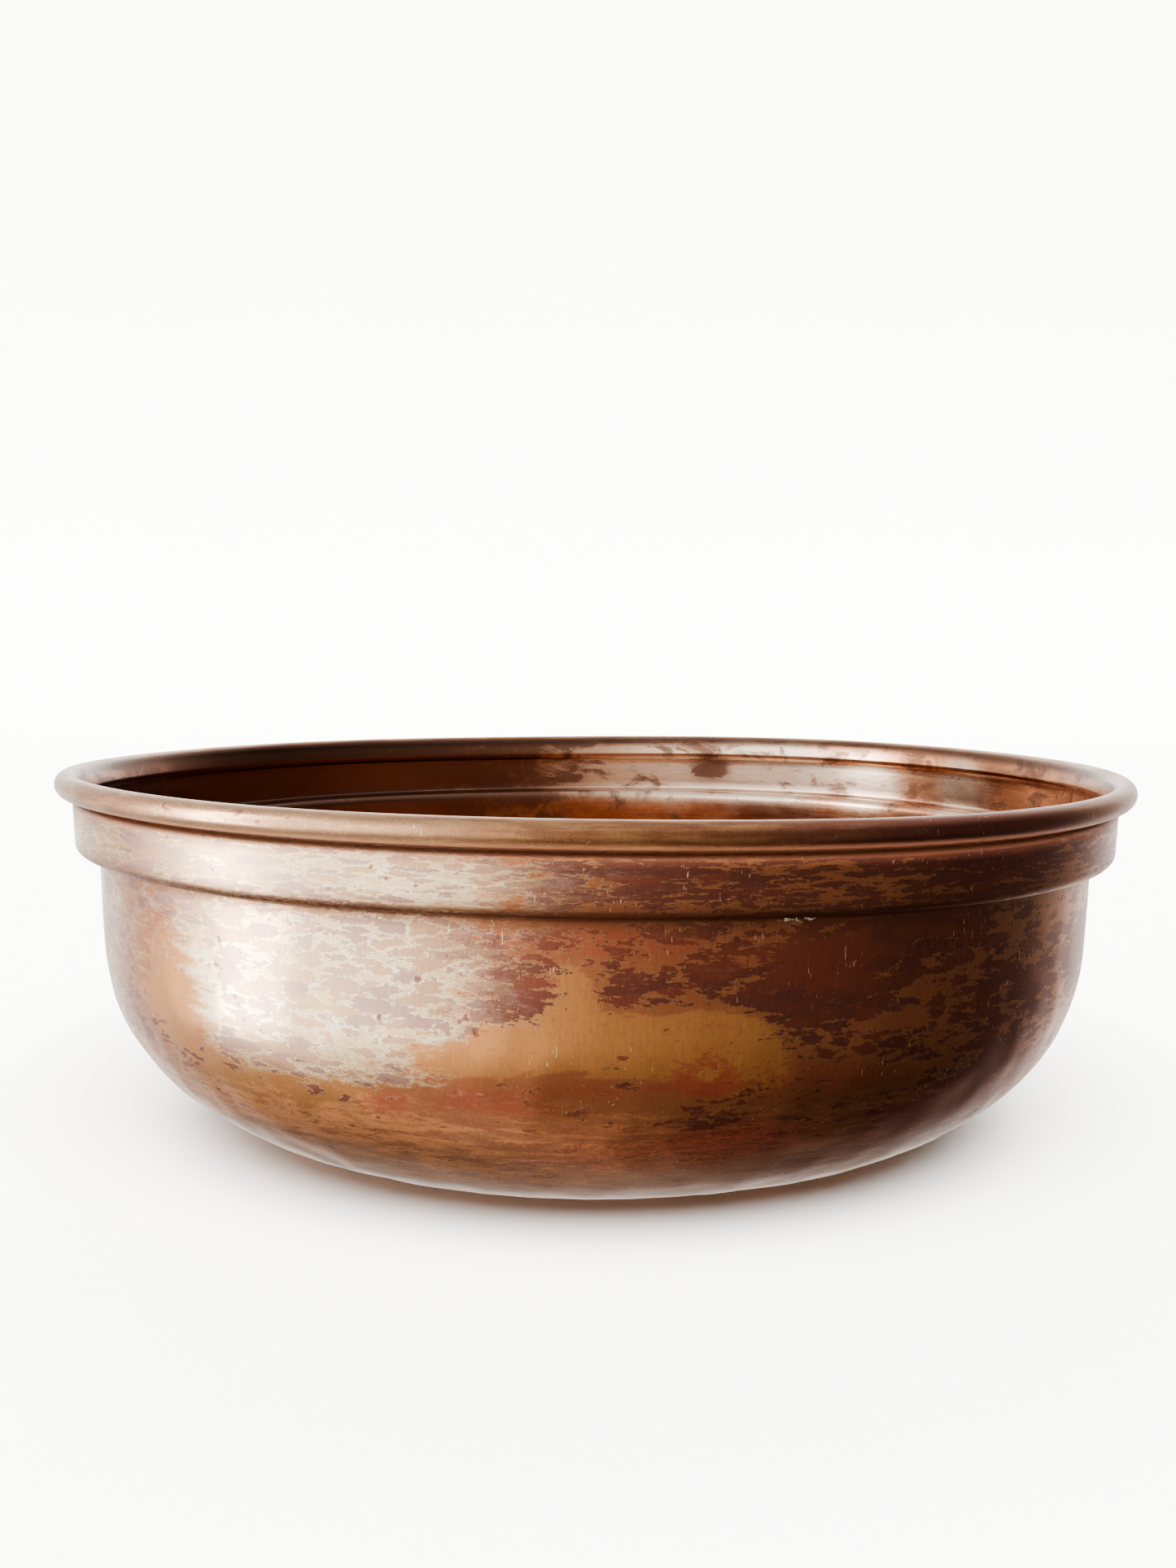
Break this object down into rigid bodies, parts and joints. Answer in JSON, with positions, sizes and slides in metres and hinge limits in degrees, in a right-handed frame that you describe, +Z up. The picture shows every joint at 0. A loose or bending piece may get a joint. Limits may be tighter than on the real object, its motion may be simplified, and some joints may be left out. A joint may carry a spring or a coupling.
{
  "type": "copper bowl",
  "caption": "Round copper bowl with a flat base, full rounded body, raised collar under the rim and a rolled edge stiffened with wire.",
  "frame": {"origin": "centre of the base, on the surface that the bowl stands on", "axes": "+Z up along the bowl's axis of symmetry; the bowl is round, so +X and +Y are alike"},
  "size_m": [0.24, 0.24, 0.08],
  "materials": {
    "copper_sheet": "old copper, satin, with a mottled golden and dark brown patina",
    "steel_wire": "dull annealed wire, dark grey"
  },
  "bodies": {
    "root": {"bowl_shell": "copper_sheet", "rim_wire": "steel_wire"}
  },
  "joints": []
}
